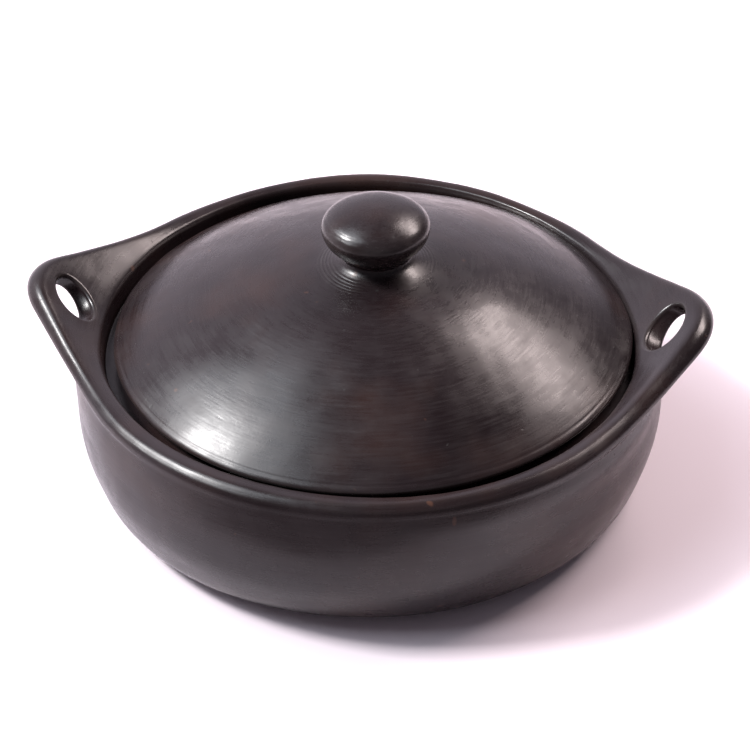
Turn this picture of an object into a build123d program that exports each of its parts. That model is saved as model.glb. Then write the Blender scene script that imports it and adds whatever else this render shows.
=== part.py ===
from build123d import *
import os
from math import acos, cos, degrees, radians, sin, sqrt, tan

# Covered casserole of burnished black clay: a round pot with two pierced lugs, and a domed lid with a
# ball knob that drops inside the rim. Millimetres, +Z up, origin at the centre of the foot.

# ---- driving dimensions ----------------------------------------------------------------------------
POT_HEIGHT = 72.9  # top of the rim above the foot
FOOT_RADIUS = 100.8  # flat part the pot stands on
FLOOR_THICKNESS = 8.5
TURN_UP_RADIUS = 37.6  # round of the bottom, where it leaves the table
SHOULDER_RADIUS = 12.0  # tighter bend from the bottom into the wall
LOWER_BELLY_ARC = 62.0
UPPER_BELLY_ARC = 130.0
INNER_FLOOR_RADIUS = 94.0

RIM_CREST_RADIUS = 126.6  # highest line of the rounded lip

FLOOR_JOIN = 19.0  # level where the first wall coil is luted on to the moulded bottom
SEAT_LEVEL = 61.7  # top of the ledge that carries the lid
SEAT_INNER_RADIUS = 107.5
SEAT_DEPTH = 12.0
MOUTH_RADIUS_LOW = 119.3  # inner wall of the rim at the ledge
MOUTH_RADIUS_HIGH = 120.6

LID_OFFSET = 1.8  # the lid lies a little to the right in its seat
KNOB_OFFSET = 4.2  # and the knob was set a little further the same way
LID_RADIUS = 116.3
LID_BOTTOM = 62.0  # 0.3 mm over the ledge
DOME_RADIUS = 202.0
DOME_TOP = 105.7
LID_THICKNESS = 7.2
LID_FOOT_INNER = 108.8

KNOB_RADIUS = 23.9
KNOB_EQUATOR = 123.6
KNOB_CROWN = 10.0  # half height above the equator
KNOB_BELLY = 15.0  # half height below it, where the neck takes over
NECK_RADIUS = 14.4
NECK_LEVEL = 108.6
FLARE_RADIUS = 26.0

LUG_CONE_AXIS = -60.0  # the lug's upper face is a cone about an axis behind the pot's centre
LUG_START = 122.6  # where that cone leaves the top of the rim
LUG_SLOPE = 32.5
LUG_THICKNESS = 9.5
LUG_FLARE = 53.9  # each straight edge of the lug makes this angle with the X axis
LUG_TANGENT_RADIUS = 129.9  # and passes this far from the pot's axis
LUG_TIP_ROUND = 27.0
LUG_EDGE_ROUND = 4.0
HOLE_CENTRE = 132.8
HOLE_SHIFT = -1.9  # towards -Y from the middle of the lug
HOLE_HALF_WIDTH = 8.6  # along the slope of the lug
HOLE_HALF_LENGTH = 13.2  # along Y
HOLE_SLANT = 20.0  # the end towards +Y lies further out

os.makedirs("parts", exist_ok=True)


def pot_outside():
    """Outside of the pot, from the axis out under the foot, round the belly and up to the top of the rim."""
    foot = Line((0, 0), (FOOT_RADIUS, 0))
    turn_up = JernArc(start=foot @ 1, tangent=(1, 0), radius=TURN_UP_RADIUS, arc_size=37)
    shoulder = JernArc(start=turn_up @ 1, tangent=turn_up % 1, radius=SHOULDER_RADIUS, arc_size=25)
    lower = JernArc(start=shoulder @ 1, tangent=shoulder % 1, radius=LOWER_BELLY_ARC, arc_size=28)
    upper = JernArc(start=lower @ 1, tangent=lower % 1, radius=UPPER_BELLY_ARC, arc_size=12)
    return TangentArc(upper @ 1, (RIM_CREST_RADIUS, POT_HEIGHT), tangent=upper % 1)


def pot_wall_line():
    """Closed outline of the whole pot wall, from the axis out and up to the rim and back inside."""
    lip_out = pot_outside()
    lip_top = Line(lip_out @ 1, (122.8, POT_HEIGHT))
    lip_in = TangentArc(lip_top @ 1, (MOUTH_RADIUS_HIGH, POT_HEIGHT - 2.4), tangent=(-1, 0))
    mouth = Line(lip_in @ 1, (MOUTH_RADIUS_LOW, SEAT_LEVEL))
    ledge = Line(mouth @ 1, (123.9, SEAT_LEVEL))
    inside_up = ThreePointArc(ledge @ 1, (124.7, 54), (125.0, 46.2))
    inside_low = JernArc(start=inside_up @ 1, tangent=(0, -1), radius=60, arc_size=-15)
    corner = TangentArc(inside_low @ 1, (INNER_FLOOR_RADIUS, FLOOR_THICKNESS), tangent=inside_low % 1)
    inner_floor = Line(corner @ 1, (0, FLOOR_THICKNESS))
    Line(inner_floor @ 1, (0, 0))


def pot_envelope_line():
    """Closed outline of the pot's outside with its mouth filled in: the shape the lugs are luted on to."""
    lip_out = pot_outside()
    lip_top = Line(lip_out @ 1, (LUG_START, POT_HEIGHT))
    mouth = Line(lip_top @ 1, (LUG_START, 110))
    cover = Line(mouth @ 1, (0, 110))
    Line(cover @ 1, (0, 0))


# ---- pot floor: the moulded bottom with its turned-up edge -----------------------------------------
with BuildPart() as pot_floor:
    with BuildSketch(Plane.XZ) as floor_section:
        with BuildLine():
            pot_wall_line()
        make_face()
        with Locations((75, FLOOR_JOIN / 2)):
            Rectangle(150, FLOOR_JOIN, mode=Mode.INTERSECT)
    revolve(axis=Axis.Z)

# ---- pot wall: the coiled belly --------------------------------------------------------------------
with BuildPart() as pot_wall:
    with BuildSketch(Plane.XZ) as wall_section:
        with BuildLine():
            pot_wall_line()
        make_face()
        with Locations((75, (FLOOR_JOIN + SEAT_LEVEL) / 2)):
            Rectangle(150, SEAT_LEVEL - FLOOR_JOIN, mode=Mode.INTERSECT)
    revolve(axis=Axis.Z)

# ---- rim coil: the thick rounded lip ---------------------------------------------------------------
with BuildPart() as rim_coil:
    with BuildSketch(Plane.XZ) as rim_section:
        with BuildLine():
            pot_wall_line()
        make_face()
        with Locations((75, SEAT_LEVEL + 10)):
            Rectangle(150, 20, mode=Mode.INTERSECT)
    revolve(axis=Axis.Z)

# ---- lid seat: the ledge luted round the inside, under the rim -------------------------------------
with BuildPart() as lid_seat:
    with BuildSketch(Plane.XZ) as seat_section:
        with BuildLine():
            under = Line((127, SEAT_LEVEL - SEAT_DEPTH), (SEAT_INNER_RADIUS + 2.4, SEAT_LEVEL - 5.2))
            nose = ThreePointArc(
                under @ 1, (SEAT_INNER_RADIUS, SEAT_LEVEL - 2.6), (SEAT_INNER_RADIUS + 2.2, SEAT_LEVEL)
            )
            top = Line(nose @ 1, (127, SEAT_LEVEL))
            Line(top @ 1, (127, SEAT_LEVEL - SEAT_DEPTH))
        make_face()
    revolve(axis=Axis.Z)
    add(pot_wall.part, mode=Mode.SUBTRACT)

# ---- right lug: a tapering pierced tongue that rises outwards from the rim -------------------------
slope = tan(radians(LUG_SLOPE))
flare = radians(LUG_FLARE)
lug_apex = LUG_TANGENT_RADIUS / sin(flare)
lug_root = 96.0
lug_root_half = (lug_apex - lug_root) * tan(flare)
drop = LUG_THICKNESS / cos(radians(LUG_SLOPE))


def lug_top(x):
    """Height of the lug's upper face over the X axis."""
    return POT_HEIGHT + slope * (x - LUG_START)


with BuildPart() as right_handle:
    with BuildSketch(Plane.XZ) as lug_section:
        with BuildLine():
            top_face = Line((112, lug_top(112)), (164, lug_top(164)))
            end_face = Line(top_face @ 1, (164, lug_top(164) - drop))
            under_face = Line(end_face @ 1, (138, lug_top(138) - drop))
            gusset = JernArc(start=under_face @ 1, tangent=under_face % 1, radius=12, arc_size=50)
            into_wall = Line(gusset @ 1, (125, 56))
            inner = Line(into_wall @ 1, (112, 56))
            Line(inner @ 1, (112, lug_top(112)))
        make_face()
    revolve(axis=Axis((LUG_CONE_AXIS, 0, 0), (0, 0, 1)))
    with BuildSketch(Plane.XY) as lug_outline:
        with BuildLine():
            Polyline(
                (lug_root, -lug_root_half), (lug_apex, 0), (lug_root, lug_root_half), close=True
            )
        make_face()
        fillet(lug_outline.vertices().group_by(Axis.X)[-1], LUG_TIP_ROUND)
    extrude(amount=120, mode=Mode.INTERSECT)
    outer_faces = right_handle.faces().filter_by(lambda f: abs(f.normal_at(None).Z) < 0.1)
    outer_faces = outer_faces.filter_by(lambda f: f.center().X > 110)
    lip_edges = outer_faces.edges().filter_by(lambda e: abs((e % 0.5).Z) < 0.95)
    lip_edges = lip_edges.filter_by(lambda e: (e @ 0.5).Z > 62 and (e @ 0.5).X > 110)
    fillet(lip_edges, LUG_EDGE_ROUND)
    with BuildSketch(Plane.XZ) as envelope_section:
        with BuildLine():
            pot_envelope_line()
        make_face()
    revolve(axis=Axis.Z, mode=Mode.SUBTRACT)
    hole_plane = Plane(
        origin=(HOLE_CENTRE, 0, lug_top(HOLE_CENTRE)),
        x_dir=(cos(radians(LUG_SLOPE)), 0, sin(radians(LUG_SLOPE))),
        z_dir=(-sin(radians(LUG_SLOPE)), 0, cos(radians(LUG_SLOPE))),
    )
    with BuildSketch(hole_plane) as finger_hole:
        with Locations((0, HOLE_SHIFT)):
            Ellipse(HOLE_HALF_WIDTH, HOLE_HALF_LENGTH, rotation=-HOLE_SLANT)
    extrude(amount=30, both=True, mode=Mode.SUBTRACT)

# ---- left lug: the same tongue on the other side ---------------------------------------------------
with BuildPart() as left_handle:
    mirror(right_handle.part, about=Plane.YZ)

# ---- lid dome --------------------------------------------------------------------------------------
dome_centre = DOME_TOP - DOME_RADIUS
shell_edge = 114.0
foot_edge = LID_FOOT_INNER - 2.0
inner_radius = DOME_RADIUS - LID_THICKNESS


def dome_height(r, sphere):
    """Height of a sphere about the dome's centre at distance r from the lid's axis."""
    return dome_centre + sqrt(sphere**2 - r**2)


with BuildPart() as lid_dome:
    with BuildSketch(Plane.XZ.shift_origin((LID_OFFSET, 0, 0))) as dome_section:
        with BuildLine():
            edge_angle = degrees(acos(shell_edge / DOME_RADIUS))
            outside = CenterArc((0, dome_centre), DOME_RADIUS, edge_angle, 90 - edge_angle)
            shoulder = TangentArc(outside @ 0, (LID_RADIUS, 67.0), tangent=-(outside % 0))
            rim_side = Line(shoulder @ 1, (LID_RADIUS - 0.3, LID_BOTTOM + 2.6))
            rim_under = TangentArc(rim_side @ 1, (LID_RADIUS - 2.9, LID_BOTTOM), tangent=rim_side % 1)
            foot = Line(rim_under @ 1, (LID_FOOT_INNER, LID_BOTTOM))
            inner_turn = Line(foot @ 1, (foot_edge, dome_height(foot_edge, inner_radius)))
            inside_angle = degrees(acos(foot_edge / inner_radius))
            inside = CenterArc((0, dome_centre), inner_radius, inside_angle, 90 - inside_angle)
            Line((0, dome_centre + inner_radius), (0, dome_centre + DOME_RADIUS))
        make_face()
    revolve(axis=Axis((LID_OFFSET, 0, 0), (0, 0, 1)))

# ---- lid knob: a flattened ball on a short flared neck ---------------------------------------------
with BuildPart() as lid_knob:
    with BuildSketch(Plane.XZ.shift_origin((KNOB_OFFSET, 0, 0))) as knob_section:
        with BuildLine():
            crown = Spline(
                (KNOB_RADIUS, KNOB_EQUATOR),
                (KNOB_RADIUS * 0.73, KNOB_EQUATOR + KNOB_CROWN * 0.68),
                (0, KNOB_EQUATOR + KNOB_CROWN),
                tangents=((0, 1), (-1, 0)),
            )
            belly = EllipticalCenterArc(
                (0, KNOB_EQUATOR), KNOB_RADIUS, KNOB_BELLY, start_angle=-45, arc_size=45
            )
            flare_z = dome_height(FLARE_RADIUS, DOME_RADIUS)
            neck = Spline(
                belly @ 0,
                (NECK_RADIUS, NECK_LEVEL),
                (FLARE_RADIUS, flare_z),
                tangents=(-(belly % 0), (1, -0.2)),
            )
            core = Line(neck @ 1, (FLARE_RADIUS, DOME_TOP - 10))
            base = Line(core @ 1, (0, DOME_TOP - 10))
            Line(base @ 1, crown @ 1)
        make_face()
    revolve(axis=Axis((KNOB_OFFSET, 0, 0), (0, 0, 1)))
    with BuildSketch(Plane.XZ.shift_origin((LID_OFFSET, 0, 0))) as dome_under_knob:
        with BuildLine():
            seat_arc = CenterArc((0, dome_centre), DOME_RADIUS, 70, 20)
            drop_line = Line(seat_arc @ 0, ((seat_arc @ 0).X, 40))
            low_line = Line(drop_line @ 1, (0, 40))
            Line(low_line @ 1, seat_arc @ 1)
        make_face()
    revolve(axis=Axis((LID_OFFSET, 0, 0), (0, 0, 1)), mode=Mode.SUBTRACT)

pot_floor.part.label = "pot_floor"
pot_wall.part.label = "pot_wall"
rim_coil.part.label = "rim_coil"
lid_seat.part.label = "lid_seat"
left_handle.part.label = "left_handle"
right_handle.part.label = "right_handle"
lid_dome.part.label = "lid_dome"
lid_knob.part.label = "lid_knob"

export_step(pot_floor.part, "parts/pot_floor.step")
export_step(pot_wall.part, "parts/pot_wall.step")
export_step(rim_coil.part, "parts/rim_coil.step")
export_step(lid_seat.part, "parts/lid_seat.step")
export_step(left_handle.part, "parts/left_handle.step")
export_step(right_handle.part, "parts/right_handle.step")
export_step(lid_dome.part, "parts/lid_dome.step")
export_step(lid_knob.part, "parts/lid_knob.step")
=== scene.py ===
import math

import bpy
import numpy as np
from mathutils import Matrix, Quaternion, Vector


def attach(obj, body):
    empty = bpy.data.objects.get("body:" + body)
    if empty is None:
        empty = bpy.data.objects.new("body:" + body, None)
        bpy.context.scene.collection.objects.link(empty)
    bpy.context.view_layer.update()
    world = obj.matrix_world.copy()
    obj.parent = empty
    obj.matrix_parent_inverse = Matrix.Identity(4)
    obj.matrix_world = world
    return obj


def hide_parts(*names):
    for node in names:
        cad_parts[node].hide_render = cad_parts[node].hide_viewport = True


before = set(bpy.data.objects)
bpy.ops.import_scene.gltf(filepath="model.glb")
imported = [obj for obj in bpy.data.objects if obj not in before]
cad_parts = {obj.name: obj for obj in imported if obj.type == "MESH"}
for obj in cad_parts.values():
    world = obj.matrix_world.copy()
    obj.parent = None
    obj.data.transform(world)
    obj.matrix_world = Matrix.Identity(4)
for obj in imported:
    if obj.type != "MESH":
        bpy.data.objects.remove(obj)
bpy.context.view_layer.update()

MM = 0.001
TURN = 2 * math.pi


# ---------------------------------------------------------------------------------------------------
# Splines and small helpers
# ---------------------------------------------------------------------------------------------------
def spline_rows(knots, where):
    """Rows that turn values at the knots into a natural cubic spline's values at the places asked for."""
    n, gap = len(knots), np.diff(knots)
    a, b = np.eye(n), np.zeros((n, n))
    for i in range(1, n - 1):
        a[i, i - 1 : i + 2] = gap[i - 1], 2 * (gap[i - 1] + gap[i]), gap[i]
        b[i, i - 1 : i + 2] = 6 / gap[i - 1], -6 / gap[i - 1] - 6 / gap[i], 6 / gap[i]
    second = np.linalg.solve(a, b)
    k = np.clip(np.searchsorted(knots, where, side="right") - 1, 0, n - 2)
    u = (knots[k + 1] - where) / gap[k]
    v = 1 - u
    rows = np.zeros((len(where), n))
    each = np.arange(len(where))
    rows[each, k] += u
    rows[each, k + 1] += v
    rows += ((u**3 - u) * gap[k] ** 2 / 6)[:, None] * second[k]
    rows += ((v**3 - v) * gap[k] ** 2 / 6)[:, None] * second[k + 1]
    return rows


def knots_for(points):
    """Centripetal spline knots for a row of points."""
    step = np.sqrt(np.linalg.norm(np.diff(points, axis=0), axis=1))
    return np.concatenate([[0.0], np.cumsum(step)])


def samples_for(knots, counts):
    """Places along the knots, counts[i] of them from knot i up to the next, and the index of each knot."""
    where = [np.linspace(knots[i], knots[i + 1], c, endpoint=False) for i, c in enumerate(counts)]
    at = np.concatenate([[0], np.cumsum(counts)])
    return np.concatenate(where + [knots[-1:]]), at


def smooth(x):
    x = np.clip(x, 0, 1)
    return x * x * (3 - 2 * x)


def waves(points, length, count, seed):
    """Smooth wandering field from -1 to 1 over points, with waves about `length` long."""
    rng = np.random.RandomState(seed)
    out = np.zeros(len(points))
    for _ in range(count):
        k = rng.normal(size=3)
        k *= TURN / length * rng.uniform(0.7, 1.4) / np.linalg.norm(k)
        out += np.cos(points @ k + rng.uniform(0, TURN))
    return out / math.sqrt(count / 2) / 1.6


def vertex_normals(verts, faces):
    """Area-weighted normals of a mesh of quads; a triangle is a quad that repeats its last corner."""
    a, b, c, d = (verts[faces[:, i]] for i in range(4))
    n = np.cross(c - a, d - b)
    out = np.zeros_like(verts)
    for i in range(4):
        np.add.at(out, faces[:, i], n)
    return out / np.maximum(np.linalg.norm(out, axis=1), 1e-12)[:, None]


# ---------------------------------------------------------------------------------------------------
# Pot: one continuous skin, made of sections at each angle round the axis, then cut into its pieces
# ---------------------------------------------------------------------------------------------------
# the section from the middle of the bottom out, up, over the rim and back in, in millimetres:
# radius and height away from the lugs, radius and height through a lug's middle, samples to the next point
SECTION = [
    (6, 0, 6, 0, 6),
    (50, 0, 50, 0, 6),
    (85, 0, 85, 0, 5),
    (99, 0.1, 99, 0.1, 5),
    (108.5, 1.0, 108.5, 1.0, 5),
    (116.5, 3.8, 116.5, 3.8, 5),
    (122.4, 7.6, 122.4, 7.6, 5),
    (126.4, 12.4, 126.4, 12.4, 5),
    (129.5, 19.3, 129.5, 19.3, 6),  # BOTTOM_EDGE
    (132.3, 29.8, 132.3, 29.8, 6),
    (133.2, 40.6, 133.2, 40.6, 6),
    (132.9, 50, 132.9, 49.4, 5),
    (132.2, 56.8, 132.4, 55.2, 5),
    (131.4, 61.3, 131.8, 60.3, 5),  # LUG_ROOT
    (130.6, 64.6, 131.0, 65.8, 16),
    (130.3, 66.1, 140.4, 73.8, 7),
    (130.15, 66.9, 149.4, 78.0, 7),
    (129.9, 67.8, 153.0, 79.2, 6),
    (129.3, 69.0, 154.6, 81.3, 6),
    (128.1, 70.15, 152.4, 84.6, 7),
    (126.2, 71.3, 147.6, 86.2, 9),  # RIDGE
    (123.9, 71.4, 141.8, 83.5, 14),
    (122.2, 71.0, 132.4, 77.2, 12),
    (121.1, 70.3, 123.2, 71.6, 4),
    (120.5, 69.1, 120.8, 69.6, 4),  # MOUTH_EDGE
    (120.2, 67.0, 120.2, 67.0, 4),
    (119.9, 64.6, 119.9, 64.6, 4),
    (119.5, 62.9, 119.5, 62.9, 4),
    (118.8, 61.95, 118.8, 61.95, 4),  # LEDGE_OUTER
    (117.4, 61.7, 117.4, 61.7, 4),
    (113, 61.7, 113, 61.7, 4),
    (109.6, 61.6, 109.6, 61.6, 3),
    (108.1, 61.0, 108.1, 61.0, 3),
    (107.5, 59.4, 107.5, 59.4, 3),
    (108.4, 57.6, 108.4, 57.6, 3),
    (111, 56.0, 111, 56.0, 4),
    (118, 52.3, 118, 52.3, 4),
    (122.6, 49.6, 122.6, 49.6, 4),
    (124.5, 46.6, 124.5, 46.6, 3),  # LEDGE_UNDER
    (125.0, 42, 125.0, 42, 3),
    (124.6, 36.5, 124.6, 36.5, 4),
    (122.6, 28.5, 122.6, 28.5, 4),
    (117.7, 19.8, 117.7, 19.8, 4),  # WALL_INNER
    (112, 14.4, 112, 14.4, 4),
    (103.5, 10.2, 103.5, 10.2, 4),
    (94, 8.6, 94, 8.6, 4),
    (80, 8.5, 80, 8.5, 5),
    (45, 8.5, 45, 8.5, 5),
    (6, 8.5, 6, 8.5, 0),
]
BOTTOM_EDGE = 8  # the bottom meets the wall
LUG_ROOT = 13  # the wall meets the rim, and a lug's underside starts
RIDGE = 20  # top of the rim and of a lug's lip
MOUTH_EDGE = 24  # the rim turns down into the mouth
LEDGE_OUTER = 28  # the rim meets the ledge
LEDGE_UNDER = 38  # the ledge's underside meets the wall
WALL_INNER = 42  # the wall meets the bottom on the inside
TABLE = np.array(SECTION, float)
POINT = np.arange(len(TABLE))
RIM_POINTS, LUG_POINTS = TABLE[:, 0:2], TABLE[:, 2:4]
KNOTS = knots_for((RIM_POINTS + LUG_POINTS) / 2)
PLACES, AT = samples_for(KNOTS, TABLE[:-1, 4].astype(int))
TURNS = 640  # sections round the pot
LUG_STEPS = 70  # sections each side of a lug's middle that belong to the lug
RIM_OUT = 129.95  # outermost radius of the rim
TIP_OUT = 154.6  # outermost radius at a lug's tip
# side (0 is +X, 1 is -X), rise, turn round the axis, straight edges' distance and angle, radius of the tip,
# then the finger hole: how far out, how far along +Y, half length, half width, slant
LUGS = [
    ("right_handle", 0, 16.3, 0.1, 131.0, 53.3, 36.7, 131.5, -1.8, 12.5, 6.9, 15),
    ("left_handle", 1, 18.4, -0.65, 131.0, 54.5, 28.4, 132.2, -3.2, 11.5, 6.7, 28),
]


def lug_outline(phi, edge, angle, tip_round):
    """Outermost radius at angle phi from a lug's middle: a circle that fades into two edges and a tip."""
    flare = math.radians(angle)
    lean = math.pi / 2 - flare
    away = np.abs(phi)
    centre = (edge - tip_round) / math.sin(flare)
    corner = math.atan2(tip_round * math.cos(flare), centre + tip_round * math.sin(flare))
    circle = RIM_OUT + (edge - RIM_OUT) * smooth(1 - (away - lean) / math.radians(22))
    line = np.where(away < lean, edge / np.cos(np.clip(lean - away, 0, 1.2)), circle)
    turn = np.minimum(away, corner)
    tip = centre * np.cos(turn) + np.sqrt(tip_round**2 - (centre * np.sin(turn)) ** 2)
    return np.where(away < corner, tip, line)


FINE_STEPS = 20  # to a degree
FINE = np.linspace(-math.pi, math.pi, 360 * FINE_STEPS + 1)


def soften(values, degrees):
    """Gaussian blur of values given on FINE."""
    half = int(4 * degrees * FINE_STEPS)
    x = np.arange(-half, half + 1) / (degrees * FINE_STEPS)
    kernel = np.exp(-x * x / 2)
    padded = np.concatenate([values[-half - 1 : -1], values, values[1 : half + 1]])
    return np.convolve(padded, kernel / kernel.sum(), mode="valid")


def lug_shares(edge, angle, tip_round):
    """On FINE: how far the section has grown into the lug in plan, and in height."""
    out = lug_outline(FINE, edge, angle, tip_round)
    x, y = (out - 3.2) * np.cos(FINE), (out - 3.2) * np.sin(FINE)
    rise = np.log1p(np.exp(np.clip((np.hypot(x + 60, y) - 180.6) / 2.2, -30, 30)))
    rise *= smooth((1.0 - np.abs(FINE)) / 0.25)
    return soften((out - RIM_OUT) / (TIP_OUT - RIM_OUT), 1.3), soften(rise / rise.max(), 0.9)


SHARES = [lug_shares(*lug[4:7]) for lug in LUGS]
# how far out of true the hand-built pot is, in millimetres: constant, then cosine and sine of each
# multiple of the angle round the axis
RIM_SIZE = (-0.9, -0.8, -1.8, 0.45, -1.75, 0.25, -1.2)
BELLY_SIZE = (0.0, 0.1, 0.0, -0.5, 0.5)
MOUTH_SIZE = (-0.4, 0.7, 0.6)
RIM_HEIGHT = (1.4, -0.4, 0.45, 0.05, 0.2)
FOOT_SIZE = 1.65
AT_RIM = np.where(POINT <= LEDGE_OUTER, smooth((RIM_POINTS[:, 1] - 46) / 16), 0)
RAISED = np.where(POINT <= MOUTH_EDGE + 1, smooth((RIM_POINTS[:, 1] - 45) / 20), 0)
AT_MOUTH = np.interp(POINT, [21, 23, 27, 29], [0, 1, 1, 0])
AT_BELLY = smooth((RIM_POINTS[:, 1] - 3) / 25) * (1 - AT_RIM)
AT_FOOT = np.interp(POINT, [1, 4, 5, BOTTOM_EDGE], [0, 1, 1, 0])


def wander(terms, theta):
    """Sum of a short Fourier series: constant, then cosine and sine of each multiple of theta."""
    out = np.full_like(theta, terms[0])
    for k in range(1, (len(terms) + 1) // 2):
        out += terms[2 * k - 1] * np.cos(k * theta) + terms[2 * k] * np.sin(k * theta)
    return out


def control(theta):
    """Control points of the sections at angles theta: radius and height, each an array (angles, points)."""
    grow = LUG_POINTS - RIM_POINTS
    r = np.repeat(RIM_POINTS[None, :, 0], len(theta), 0)
    z = np.repeat(RIM_POINTS[None, :, 1], len(theta), 0)
    for lug, (plan, rise) in zip(LUGS, SHARES):
        phi = (theta - lug[1] * math.pi - math.radians(lug[3]) + math.pi) % TURN - math.pi
        r += np.interp(phi, FINE, plan)[:, None] * grow[:, 0]
        z += np.interp(phi, FINE, rise)[:, None] * grow[:, 1] * lug[2] / grow[RIDGE, 1]
    r += wander(RIM_SIZE, theta)[:, None] * AT_RIM + wander(BELLY_SIZE, theta)[:, None] * AT_BELLY
    r += wander(MOUTH_SIZE, theta)[:, None] * AT_MOUTH + FOOT_SIZE * AT_FOOT
    z += wander(RIM_HEIGHT, theta)[:, None] * RAISED
    return r, z


def height_at(theta, radius, first, last):
    """Height of the skin at places in plan, on the run of the section between two of its points."""
    r, z = control(theta)
    low, high = np.full(len(theta), KNOTS[first]), np.full(len(theta), KNOTS[last])
    outward = 1.0 if LUG_POINTS[last, 0] > LUG_POINTS[first, 0] else -1.0
    for _ in range(26):
        middle = (low + high) / 2
        here = (spline_rows(KNOTS, middle) * r).sum(1)
        beyond = (here - radius) * outward > 0
        high, low = np.where(beyond, middle, high), np.where(beyond, low, middle)
    return (spline_rows(KNOTS, (low + high) / 2) * z).sum(1)


theta = np.arange(TURNS) * TURN / TURNS
ctrl_r, ctrl_z = control(theta)
rows = spline_rows(KNOTS, PLACES)
grid_r, grid_z = ctrl_r @ rows.T, np.maximum(ctrl_z @ rows.T, 0)
SIDE = len(PLACES)
pot = np.empty((TURNS, SIDE, 3))
pot[..., 0] = grid_r * np.cos(theta)[:, None]
pot[..., 1] = grid_r * np.sin(theta)[:, None]
pot[..., 2] = grid_z

HOLE_THETA, HOLE_SIDE = 12, 8  # half size of the block of cells that a finger hole replaces
TOP_MIDDLE = AT[22] - 1  # sample at the middle of the hole on the lug's upper face
UNDER_MIDDLE = AT[LUG_ROOT + 1] + 14  # and on its underside
ROUND = 1.9  # rounding of the hole's upper edge
UNDER_ROUND = ROUND * 0.7  # and of its lower edge
RINGS = 6  # steps over each rounded edge, and down the wall between them


def hole_ring(lug, angle, grow, shift):
    """Points in plan round a finger hole's ellipse, in the lug's own directions (outwards, and along +Y)."""
    far, side_shift, length, width, slant = lug[7:12]
    s = math.radians(slant)
    along, across = (length + grow) * np.cos(angle), (width + grow) * np.sin(angle)
    out = far + shift + across * math.cos(s) + along * math.sin(s)
    side = side_shift + along * math.cos(s) - across * math.sin(s)
    return out, side


def warp(lug, middle, reach, grow, shift, squeeze, first, last):
    """Bends the grid round a finger hole so that a block of cells can be taken out along its edge.

    The block's middle sample, how many samples beyond it bend too, what the hole's ellipse grows by, how far
    outwards it moves, how much narrower it gets, and the section points between which the skin's height lies.
    """
    half = lug[1]
    outward = 1 if grid_r[0, middle + 1] > grid_r[0, middle] else -1
    di = np.arange(-3 * HOLE_THETA, 3 * HOLE_THETA + 1)
    dj = np.arange(-HOLE_SIDE - reach[0], HOLE_SIDE + reach[1] + 1)
    i_all, j_all = np.meshgrid(di, dj, indexing="ij")

    def share(d, block, low, high):
        size = np.where(d < 0, low, high)
        a = np.abs(d)
        return np.where(a <= block, a / block, 1 + (a - block) / size)

    m_i = share(i_all, HOLE_THETA, 2 * HOLE_THETA, 2 * HOLE_THETA)
    m_j = share(j_all, HOLE_SIDE, reach[0], reach[1])
    m = np.maximum(m_i, m_j)
    keep = (m >= 0.999) & (m < 2)
    mirror = -1.0 if half else 1.0  # on the left lug the angle runs the other way along Y
    angle = np.arctan2(np.sign(j_all) * m_j * outward, np.sign(i_all) * m_i * mirror)
    w = smooth(m - 1)
    spread = (m - 1) * 9.0
    out, side = hole_ring(lug, angle, grow + spread, shift)
    out = lug[7] + shift + (out - lug[7] - shift) * squeeze
    sign = -1.0 if half else 1.0
    i_index = (i_all + half * TURNS // 2) % TURNS
    j_index = j_all + middle
    here = pot[i_index, j_index]
    x = np.where(keep, (1 - w) * sign * out + w * here[..., 0], here[..., 0])
    y = np.where(keep, (1 - w) * side + w * here[..., 1], here[..., 1])
    flat_t, flat_r = np.arctan2(y, x)[keep], np.hypot(x, y)[keep]
    z = here[..., 2].copy()
    z[keep] = height_at(flat_t % TURN, flat_r, first, last)
    pot[i_index[keep], j_index[keep]] = np.stack([x, y, z], -1)[keep]


for lug in LUGS:
    warp(lug, TOP_MIDDLE, (13, 10), ROUND, 0.0, 1.0, 20, 25)
    warp(lug, UNDER_MIDDLE, (5, 12), UNDER_ROUND, 6.8, 0.85, 14, 18)


def index(i, j):
    return (i % TURNS) * SIDE + j


def block_loop(lug, middle):
    """Vertices round a hole's block of cells, in order, starting from its low corner."""
    i0, i1 = -HOLE_THETA, HOLE_THETA
    j0, j1 = middle - HOLE_SIDE, middle + HOLE_SIDE
    loop = [(i, j0) for i in range(i0, i1)] + [(i1, j) for j in range(j0, j1)]
    loop += [(i, j1) for i in range(i1, i0, -1)] + [(i0, j) for j in range(j1, j0, -1)]
    return np.array([index(i + lug[1] * TURNS // 2, j) for i, j in loop])


cell_i, cell_j = np.meshgrid(np.arange(TURNS), np.arange(SIDE - 1), indexing="ij")
quads = np.stack(
    [
        index(cell_i, cell_j),
        index(cell_i + 1, cell_j),
        index(cell_i + 1, cell_j + 1),
        index(cell_i, cell_j + 1),
    ],
    -1,
).reshape(-1, 4)
quad_i, quad_j = cell_i.ravel(), cell_j.ravel()
keep = np.ones(len(quads), bool)
for lug in LUGS:
    d = (quad_i - lug[1] * TURNS // 2 + TURNS // 2) % TURNS - TURNS // 2
    in_i = (d >= -HOLE_THETA) & (d < HOLE_THETA)
    for middle in (TOP_MIDDLE, UNDER_MIDDLE):
        in_j = (quad_j >= middle - HOLE_SIDE) & (quad_j < middle + HOLE_SIDE)
        keep &= ~(in_i & in_j)
quads, quad_i, quad_j = quads[keep], quad_i[keep], quad_j[keep]

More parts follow.
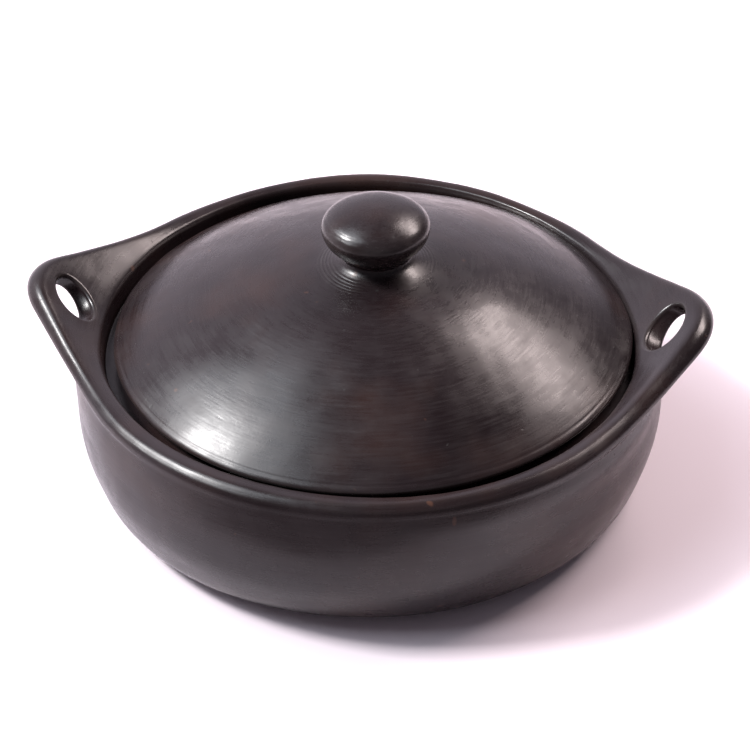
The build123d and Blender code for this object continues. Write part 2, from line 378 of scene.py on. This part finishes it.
names = np.array(["lid_seat"] * len(quads), dtype=object)
bottom, root, ledge = AT[BOTTOM_EDGE], AT[LUG_ROOT], AT[LEDGE_OUTER]
under_ledge, inside = AT[LEDGE_UNDER], AT[WALL_INNER]
names[(quad_j < bottom) | (quad_j >= inside)] = "pot_floor"
names[((quad_j >= bottom) & (quad_j < root)) | ((quad_j >= under_ledge) & (quad_j < inside))] = "pot_wall"
names[(quad_j >= root) & (quad_j < ledge)] = "rim_coil"
for lug in LUGS:
    d = (quad_i - lug[1] * TURNS // 2 + TURNS // 2) % TURNS - TURNS // 2
    names[(d >= -LUG_STEPS) & (d < LUG_STEPS) & (quad_j >= root) & (quad_j < AT[MOUTH_EDGE])] = lug[0]

verts = pot.reshape(-1, 3)
first_normals = vertex_normals(verts, quads)



def matched(top, under):
    """The lower loop turned and rolled so that its vertices lie under those of the upper loop."""
    best = None
    for order in (1, -1):
        for k in range(len(under)):
            rolled = np.roll(under[::order], -k)
            score = np.linalg.norm(verts[top, :2] - verts[rolled, :2], axis=1).sum()
            if best is None or score < best[0]:
                best = (score, rolled)
    return best[1]


def rounded_edge(loop, size):
    """Rings that turn the skin round from the loop's vertices into the hole."""
    p, n = verts[loop], first_normals[loop]
    inward = np.cross(n, np.roll(p, -1, 0) - np.roll(p, 1, 0))
    inward /= np.linalg.norm(inward, axis=1)[:, None]
    inward *= np.sign(((p.mean(0) - p) * inward).sum(1).mean())
    turns = [k / RINGS * math.pi / 2 for k in range(1, RINGS + 1)]
    return [p + inward * size * math.sin(t) - n * size * (1 - math.cos(t)) for t in turns]


# walls of the finger holes
extra_v, extra_q, extra_n = [], [], []
count = len(verts)
for lug in LUGS:
    top = block_loop(lug, TOP_MIDDLE)
    under = matched(top, block_loop(lug, UNDER_MIDDLE))
    rings, low = rounded_edge(top, ROUND), rounded_edge(under, UNDER_ROUND)
    upper, lower = rings[-1], low[-1]
    rings += [upper * (1 - k / RINGS) + lower * k / RINGS for k in range(1, RINGS)] + low[::-1]
    previous = top
    for ring in rings + [None]:
        current = under if ring is None else np.arange(count, count + len(top))
        if ring is not None:
            extra_v.append(ring)
            count += len(top)
        extra_q.append(np.stack([previous, np.roll(previous, -1), np.roll(current, -1), current], -1))
        extra_n += [lug[0]] * len(top)
        previous = current

# poles under and inside the bottom
extra_v.append(np.array([[0, 0, 0.0], [0, 0, 8.5]]))
ring, last = np.arange(TURNS), SIDE - 1
under_pole, inner_pole = np.full(TURNS, count), np.full(TURNS, count + 1)
extra_q.append(np.stack([index(ring + 1, 0), index(ring, 0), under_pole, under_pole], -1))
extra_q.append(np.stack([index(ring, last), index(ring + 1, last), inner_pole, inner_pole], -1))
extra_n += ["pot_floor"] * (2 * TURNS)

verts = np.concatenate([verts] + extra_v)
quads = np.concatenate([quads] + extra_q)
names = np.concatenate([names, np.array(extra_n, dtype=object)])

# turn the hole walls' quads so that they face out of the clay
wall_end = len(names) - 2 * TURNS
wall = slice(wall_end - sum(len(q) for q in extra_q[:-2]), wall_end)
wall_quads = quads[wall]
a, b, c, d = (verts[wall_quads[:, i]] for i in range(4))
facing = np.cross(c - a, d - b)
for lug in LUGS:
    mine = names[wall] == lug[0]
    ends = [verts[block_loop(lug, middle)].mean(0) for middle in (TOP_MIDDLE, UNDER_MIDDLE)]
    hole_middle = (ends[0] + ends[1]) / 2
    towards = hole_middle - verts[wall_quads].mean(1)
    if (facing[mine] * towards[mine]).sum() < 0:
        wall_quads[mine] = wall_quads[mine][:, ::-1]
quads[wall] = wall_quads

# hand-made unevenness
normals = vertex_normals(verts, quads)
uneven = 0.30 * waves(verts, 120, 18, 3) + 0.10 * waves(verts, 38, 24, 4) + 0.035 * waves(verts, 14, 30, 5)
uneven *= smooth(verts[:, 2] / 6)
verts = verts + normals * uneven[:, None]
normals = vertex_normals(verts, quads)


def edge_wear(verts, faces, normals, reach):
    """How much each point stands proud of its surroundings, 0 to 1: a raised round edge is rubbed more."""
    total, number = np.zeros(len(verts)), np.zeros(len(verts))
    for i in range(4):
        a, b = faces[:, i], faces[:, (i + 1) % 4]
        real = a != b
        for p, q in ((a[real], b[real]), (b[real], a[real])):
            gap = np.linalg.norm(verts[q] - verts[p], axis=1)
            bend = ((normals[q] - normals[p]) * (verts[q] - verts[p])).sum(1) / np.maximum(gap, 1e-6) ** 2
            np.add.at(total, p, bend * gap)
            np.add.at(number, p, gap)
    return smooth(total / np.maximum(number, 1e-9) / reach)


def mesh_object(name, points, faces, point_normals, wear):
    """A mesh in metres from points in millimetres and quads, or triangles that repeat their last corner."""
    used, inverse = np.unique(faces, return_inverse=True)
    faces = inverse.reshape(faces.shape)
    mesh = bpy.data.meshes.new(name)
    corners = [tuple(f[:3]) if f[2] == f[3] else tuple(f) for f in faces.tolist()]
    mesh.from_pydata((points[used] * MM).tolist(), [], corners)
    mesh.polygons.foreach_set("use_smooth", np.ones(len(corners), bool))
    mesh.normals_split_custom_set_from_vertices(point_normals[used].tolist())
    mesh.attributes.new("wear", "FLOAT", "POINT").data.foreach_set("value", wear[used])
    obj = bpy.data.objects.new(name, mesh)
    bpy.context.scene.collection.objects.link(obj)
    return obj


WEAR_BEND = 0.16  # bend per millimetre at which an edge is fully rubbed
wear = edge_wear(verts, quads, normals, WEAR_BEND)
pot_pieces = []
for node in ("pot_floor", "pot_wall", "rim_coil", "lid_seat", "left_handle", "right_handle"):
    piece = mesh_object("clay_" + node, verts, quads[names == node], normals, wear)
    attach(piece, "pot")
    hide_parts(node)
    pot_pieces.append(piece)

# ---------------------------------------------------------------------------------------------------
# Lid and knob: circles stacked along a section, whose centres drift from the lid's axis to the knob's
# ---------------------------------------------------------------------------------------------------
DOME_R, DOME_TOP, SHELL = 202.0, 105.7, 7.2  # the dome's sphere and top, and the lid's thickness


def dome(r, sphere=DOME_R):
    """Height of a sphere about the dome's centre, at distance r from the axis."""
    return DOME_TOP - DOME_R + math.sqrt(sphere**2 - r**2)


# radius, height, samples to the next point: out along the underside, round the edge, and up to the knob's top
LID = [
    (6, dome(6, DOME_R - SHELL), 6),
    (40, dome(40, DOME_R - SHELL), 6),
    (75, dome(75, DOME_R - SHELL), 6),
    (98, dome(98, DOME_R - SHELL), 4),
    (104.5, dome(104.5, DOME_R - SHELL), 4),
    (106.6, 64.4, 3),
    (107.6, 62.7, 3),
    (109.0, 62.05, 3),
    (110.9, 62.2, 3),
    (112.6, 63.4, 4),
    (114.2, 65.4, 4),
    (115.7, 67.0, 4),
    (116.25, 68.1, 5),  # LID_EDGE
    (115.8, 69.0, 6),
    (113.6, dome(113.6) - 0.1, 26),
    (103, dome(103), 12),
    (85, dome(85), 14),
    (60, dome(60), 12),
    (42, dome(42), 9),
    (31, dome(31), 22),  # KNOB_FOOT
    (24.5, dome(24.5) + 0.45, 20),
    (19.2, dome(19.2) + 1.6, 8),
    (16.2, dome(16.2) + 3.4, 6),
    (15.4, 110.4, 6),
    (17.2, 112.9, 6),
    (20.4, 116.0, 6),
    (22.8, 119.3, 7),
    (23.75, 122.2, 6),
    (23.75, 124.6, 5),
    (22.5, 126.9, 6),
    (19.4, 129.5, 6),
    (13.0, 132.0, 6),
    (6.5, 133.2, 4),
    (2.0, 133.57, 0),
]
LID_EDGE = 12  # widest point
DOME_EDGE = LID_EDGE + 2  # the dome starts
KNOB_FOOT = 19  # the knob's flare leaves the dome
lid_table = np.array(LID, float)
lid_knots = knots_for(lid_table[:, :2])
lid_places, LAT = samples_for(lid_knots, lid_table[:-1, 2].astype(int))
lid_rows = spline_rows(lid_knots, lid_places)
LID_TURNS = 480
LID_SHIFT, LID_SQUASH = 1.0, 0.99  # the lid sits a little far back and is not quite round
ang = np.arange(LID_TURNS) * TURN / LID_TURNS
lr, lz = lid_rows @ lid_table[:, 0], lid_rows @ lid_table[:, 1]
LS = len(lr)
sample = np.arange(LS)
# a groove scratched inside the edge, and fine turning lines on the knob's flare; both fade in and out
groove = np.where(sample > LAT[LID_EDGE], 0.12 * np.exp(-(((lr - 113.9) / 0.4) ** 2)), 0)
lines = np.where(sample > LAT[DOME_EDGE + 1], 0.055 * np.sin(lr * TURN / 1.6), 0)
lines *= smooth((lr - 17) / 3) * smooth((28 - lr) / 4)
grooved = smooth(0.6 - np.sin(ang + 0.5))
lined = smooth(0.45 + 0.6 * np.sin(2 * ang + 0.3) + 0.3 * np.sin(5 * ang))
drift = np.where(sample < LAT[DOME_EDGE], 0.0, smooth((95 - lr) / 65))
LID_X, KNOB_X = 1.8, 4.2  # how far along X the lid's and the knob's middles lie
lid = np.empty((LID_TURNS, LS, 3))
lid[..., 0] = LID_X + (KNOB_X - LID_X) * drift + lr * np.cos(ang)[:, None]
lid[..., 1] = LID_SHIFT + LID_SQUASH * lr * np.sin(ang)[:, None]
lid[..., 2] = lz - groove * grooved[:, None] + lines * lined[:, None]
li, lj = np.meshgrid(np.arange(LID_TURNS), np.arange(LS - 1), indexing="ij")


def lid_index(i, j):
    return (i % LID_TURNS) * LS + j


lq = np.stack(
    [lid_index(li, lj), lid_index(li + 1, lj), lid_index(li + 1, lj + 1), lid_index(li, lj + 1)], -1
).reshape(-1, 4)
lid_names = np.where(lj.ravel() < LAT[KNOB_FOOT], "lid_dome", "lid_knob").astype(object)
lv = lid.reshape(-1, 3)
count = len(lv)
poles = np.array([[LID_X, 0, DOME_TOP - SHELL], [KNOB_X, 0, 133.62]])
ring, last = np.arange(LID_TURNS), LS - 1
inner_pole, top_pole = np.full(LID_TURNS, count), np.full(LID_TURNS, count + 1)
inner_cap = np.stack([lid_index(ring + 1, 0), lid_index(ring, 0), inner_pole, inner_pole], -1)
top_cap = np.stack([lid_index(ring, last), lid_index(ring + 1, last), top_pole, top_pole], -1)
lv = np.concatenate([lv, poles])
lq = np.concatenate([lq, inner_cap, top_cap])
cap_names = np.array(["lid_dome"] * LID_TURNS + ["lid_knob"] * LID_TURNS, dtype=object)
lid_names = np.concatenate([lid_names, cap_names])
ln = vertex_normals(lv, lq)
uneven = 0.30 * waves(lv, 110, 18, 13) + 0.09 * waves(lv, 36, 24, 14) + 0.03 * waves(lv, 13, 30, 15)
lv = lv + ln * uneven[:, None]
ln = vertex_normals(lv, lq)
wear = edge_wear(lv, lq, ln, WEAR_BEND)
lid_pieces = []
for node in ("lid_dome", "lid_knob"):
    piece = mesh_object("clay_" + node, lv, lq[lid_names == node], ln, wear)
    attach(piece, "lid")
    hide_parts(node)
    lid_pieces.append(piece)


# ---------------------------------------------------------------------------------------------------
# Burnished clay: strokes of the burnishing stone round the axis, clouds, fine pits and rubbed edges
# ---------------------------------------------------------------------------------------------------
BELLY_R = 0.13  # radius at which the strokes have their full length, in metres


class Shader:
    """Short way of adding and joining a material's nodes."""

    def __init__(self, name):
        self.mat = bpy.data.materials.new(name)
        self.mat.use_nodes = True
        self.tree = self.mat.node_tree
        self.bsdf = self.tree.nodes["Principled BSDF"]

    def put(self, socket, value):
        if isinstance(value, bpy.types.NodeSocket):
            self.tree.links.new(value, socket)
        else:
            socket.default_value = value

    def math(self, kind, a, b=0.0, clamp=False):
        node = self.tree.nodes.new("ShaderNodeMath")
        node.operation, node.use_clamp = kind, clamp
        self.put(node.inputs[0], a)
        self.put(node.inputs[1], b)
        return node.outputs[0]

    def combine(self, x, y, z):
        node = self.tree.nodes.new("ShaderNodeCombineXYZ")
        for socket, value in zip(node.inputs, (x, y, z)):
            self.put(socket, value)
        return node.outputs[0]

    def noise(self, vector, scale, detail=3.0, rough=0.5, w=None):
        node = self.tree.nodes.new("ShaderNodeTexNoise")
        node.noise_dimensions = "3D" if w is None else "4D"
        self.put(node.inputs["Vector"], vector)
        if w is not None:
            self.put(node.inputs["W"], w)
        self.put(node.inputs["Scale"], scale)
        self.put(node.inputs["Detail"], detail)
        self.put(node.inputs["Roughness"], rough)
        return node.outputs["Fac"]

    def remap(self, value, low, high, to_low, to_high):
        node = self.tree.nodes.new("ShaderNodeMapRange")
        for socket, v in zip(node.inputs, (value, low, high, to_low, to_high)):
            self.put(socket, v)
        return node.outputs[0]

    def mix(self, share, a, b):
        node = self.tree.nodes.new("ShaderNodeMix")
        node.data_type = "RGBA"
        self.put(node.inputs[0], share)
        self.put(node.inputs[6], a)
        self.put(node.inputs[7], b)
        return node.outputs[2]

    def bump(self, height, distance, strength, normal=None):
        node = self.tree.nodes.new("ShaderNodeBump")
        self.put(node.inputs["Height"], height)
        self.put(node.inputs["Distance"], distance)
        self.put(node.inputs["Strength"], strength)
        if normal is not None:
            self.put(node.inputs["Normal"], normal)
        return node.outputs[0]


def burnished_clay(name, axis_x, strokes, seed):
    """Black clay rubbed round an axis at axis_x metres; strokes is how much its polish varies."""
    sh = Shader(name)
    place = sh.tree.nodes.new("ShaderNodeTexCoord").outputs["Object"]
    split = sh.tree.nodes.new("ShaderNodeSeparateXYZ")
    sh.put(split.inputs[0], place)
    x, y, z = split.outputs
    x = sh.math("SUBTRACT", x, axis_x)
    squares = sh.math("ADD", sh.math("MULTIPLY", y, y), 1e-7)
    r = sh.math("SQRT", sh.math("ADD", sh.math("MULTIPLY", x, x), squares))
    cos, sin = sh.math("DIVIDE", x, r), sh.math("DIVIDE", y, r)

    def stroke(length, width, detail):
        """Noise drawn out round the axis, with marks of about that length and width in metres."""
        turn = BELLY_R / length
        where = sh.combine(
            sh.math("MULTIPLY", cos, turn),
            sh.math("MULTIPLY", sin, turn),
            sh.math("MULTIPLY", z, 1 / width),
        )
        across = sh.math("ADD", sh.math("MULTIPLY", r, 1 / width), seed)
        return sh.noise(where, 1.0, detail, 0.62, across)

    broad = stroke(0.036, 0.0042, 2.0)
    fine = stroke(0.020, 0.0010, 3.0)
    clouds = sh.noise(place, 17.0 + seed, 4.0, 0.55)
    patches = sh.noise(place, 13.0 + seed, 3.0, 0.6)
    mottle = sh.noise(place, 95.0, 3.0, 0.6)
    grain = sh.noise(place, 800.0, 3.0, 0.65)
    pits = sh.remap(sh.noise(place, 480.0, 0.0, 0.5), 0.84, 0.90, 0.0, 1.0)
    specks = sh.remap(sh.noise(place, 160.0 + seed, 0.0, 0.5), 0.83, 0.88, 0.0, 1.0)
    wear_node = sh.tree.nodes.new("ShaderNodeAttribute")
    wear_node.attribute_name = "wear"
    wear = wear_node.outputs["Fac"]
    wear = sh.math("MULTIPLY", wear, sh.remap(broad, 0.35, 0.65, 0.35, 1.0))

    cloudy = sh.remap(clouds, 0.34, 0.68, 0.0, 1.0)
    colour = sh.mix(cloudy, (0.0085, 0.0045, 0.0052, 1), (0.0175, 0.0115, 0.0130, 1))
    colour = sh.mix(sh.remap(patches, 0.50, 0.72, 0.0, 0.80), colour, (0.034, 0.0170, 0.0140, 1))
    colour = sh.mix(sh.remap(fine, 0.40, 0.70, 0.0, 0.25), colour, (0.028, 0.022, 0.024, 1))
    colour = sh.mix(sh.math("MULTIPLY", wear, 0.50), colour, (0.055, 0.048, 0.046, 1))
    colour = sh.mix(sh.math("MULTIPLY", pits, 0.7), colour, (0.010, 0.008, 0.008, 1))
    colour = sh.mix(sh.math("MULTIPLY", specks, 0.5), colour, (0.13, 0.060, 0.038, 1))
    sh.put(sh.bsdf.inputs["Base Color"], colour)

    rough = sh.remap(clouds, 0.30, 0.70, -0.035, 0.045)
    rough = sh.math("ADD", rough, sh.remap(mottle, 0.30, 0.70, -0.040, 0.050))
    rough = sh.math("ADD", rough, sh.remap(broad, 0.30, 0.70, -strokes, strokes))
    rough = sh.math("ADD", rough, sh.remap(fine, 0.30, 0.70, -strokes, strokes))
    rough = sh.math("SUBTRACT", rough, sh.math("MULTIPLY", wear, 0.07))
    rough = sh.math("ADD", rough, sh.math("MULTIPLY", pits, 0.2))
    sh.put(sh.bsdf.inputs["Roughness"], sh.math("ADD", rough, 0.27, clamp=True))
    sh.put(sh.bsdf.inputs["IOR"], 1.45)

    normal = sh.bump(broad, 0.0005, 0.11)
    normal = sh.bump(fine, 0.00018, 0.20, normal)
    normal = sh.bump(mottle, 0.0004, 0.10, normal)
    normal = sh.bump(grain, 0.00010, 0.15, normal)
    normal = sh.bump(sh.math("MULTIPLY", pits, -1.0), 0.0003, 0.12, normal)
    sh.put(sh.bsdf.inputs["Normal"], normal)
    return sh.mat


pot_clay = burnished_clay("burnished_clay_pot", 0.0, 0.03, 0.0)
lid_clay = burnished_clay("burnished_clay_lid", 0.003, 0.035, 3.0)
for piece in pot_pieces:
    piece.data.materials.append(pot_clay)
for piece in lid_pieces:
    piece.data.materials.append(lid_clay)

# ---------------------------------------------------------------------------------------------------
# Floor, light and camera
# ---------------------------------------------------------------------------------------------------
floor_mesh = bpy.data.meshes.new("floor")
FLOOR = 8.0  # half side
corners = [(-FLOOR, -FLOOR, 0), (FLOOR, -FLOOR, 0), (FLOOR, FLOOR, 0), (-FLOOR, FLOOR, 0)]
floor_mesh.from_pydata(corners, [], [(0, 1, 2, 3)])
floor = bpy.data.objects.new("floor", floor_mesh)
bpy.context.scene.collection.objects.link(floor)
paper = Shader("paper_floor")
paper_place = paper.tree.nodes.new("ShaderNodeSeparateXYZ")
paper.put(paper_place.inputs[0], paper.tree.nodes.new("ShaderNodeTexCoord").outputs["Object"])
# pale under the pot; painted shade from 0.16 m out towards -Y, where the floor colour darkens to stand in for
# the dim near side of the room, which the upper wall mirrors
painted_shade_front = paper.remap(paper_place.outputs[1], -0.16, -0.29, 0.0, 1.0)
# the darker colour here is painted shade on the floor, not the paper's own colour
paper.put(paper.bsdf.inputs["Base Color"], paper.mix(painted_shade_front, (0.95, 0.86, 0.92, 1), (0.24, 0.205, 0.22, 1)))
paper.put(paper.bsdf.inputs["Roughness"], 0.9)
paper.put(paper.bsdf.inputs["Specular IOR Level"], 0.1)
floor_mesh.materials.append(paper.mat)


def direction(azimuth, elevation):
    """Unit vector from the pot: azimuth 0 is towards -Y, 90 towards +X."""
    a, e = math.radians(azimuth), math.radians(elevation)
    return Vector((math.sin(a) * math.cos(e), -math.cos(a) * math.cos(e), math.sin(e)))


def softbox(name, azimuth, elevation, distance, width, height, power, colour, roll=0.0):
    """A rectangular area light that faces the pot."""
    light = bpy.data.lights.new(name, "AREA")
    light.shape = "RECTANGLE"
    light.size, light.size_y = width, height
    light.energy = power
    light.color = colour
    obj = bpy.data.objects.new(name, light)
    bpy.context.scene.collection.objects.link(obj)
    aim = Vector((0, 0, 0.06))
    obj.location = aim + direction(azimuth, elevation) * distance
    obj.rotation_mode = "QUATERNION"
    level = (aim - obj.location).to_track_quat("-Z", "Y")
    obj.rotation_quaternion = level @ Quaternion((0, 0, 1), math.radians(roll))


softbox("key", -87, 48, 3.0, 0.58, 0.50, 92, (1.0, 0.98, 0.975))
softbox("panel", -86, 55, 2.0, 1.50, 1.25, 25, (0.86, 0.92, 1.0))
softbox("side", 131, 45, 1.6, 0.88, 0.46, 21, (1.0, 0.85, 0.83), 22)

# a room that is bright behind the pot and dim overhead and on the near side
world = bpy.data.worlds.new("studio")
bpy.context.scene.world = world
world.use_nodes = True
tree = world.node_tree
ways = tree.nodes.new("ShaderNodeTexCoord").outputs["Generated"]
towards = tree.nodes.new("ShaderNodeVectorMath")
towards.operation = "DOT_PRODUCT"
tree.links.new(ways, towards.inputs[0])
towards.inputs[1].default_value = (-0.62, 0.71, -0.33)
level = tree.nodes.new("ShaderNodeMapRange")
level.interpolation_type = "SMOOTHSTEP"
tree.links.new(towards.outputs["Value"], level.inputs[0])
for socket, value in zip(level.inputs[1:5], (-0.10, 0.80, 0.13, 1.15)):
    socket.default_value = value
tree.nodes["Background"].inputs["Color"].default_value = (0.96, 0.87, 1.0, 1)
tree.links.new(level.outputs[0], tree.nodes["Background"].inputs["Strength"])

# camera: a long lens in front of the pot and above it, turned by elevation, azimuth and a slight roll
cam_data = bpy.data.cameras.new("camera")
cam_data.lens, cam_data.sensor_width = 105.6, 36.0
camera = bpy.data.objects.new("camera", cam_data)
bpy.context.scene.collection.objects.link(camera)
elevation, azimuth, roll = (math.radians(x) for x in (36.98, 6.57, -1.1))
back = direction(math.degrees(azimuth), math.degrees(elevation))
right = Vector((math.cos(azimuth), math.sin(azimuth), 0))
up = back.cross(right)
x_axis = math.cos(roll) * right + math.sin(roll) * up
y_axis = -math.sin(roll) * right + math.cos(roll) * up
turn = Matrix((x_axis, y_axis, back)).transposed().to_4x4()
camera.matrix_world = Matrix.Translation(Vector((0.09443, -0.79758, 0.64775))) @ turn
bpy.context.scene.camera = camera
bpy.context.scene.view_settings.view_transform = "Standard"
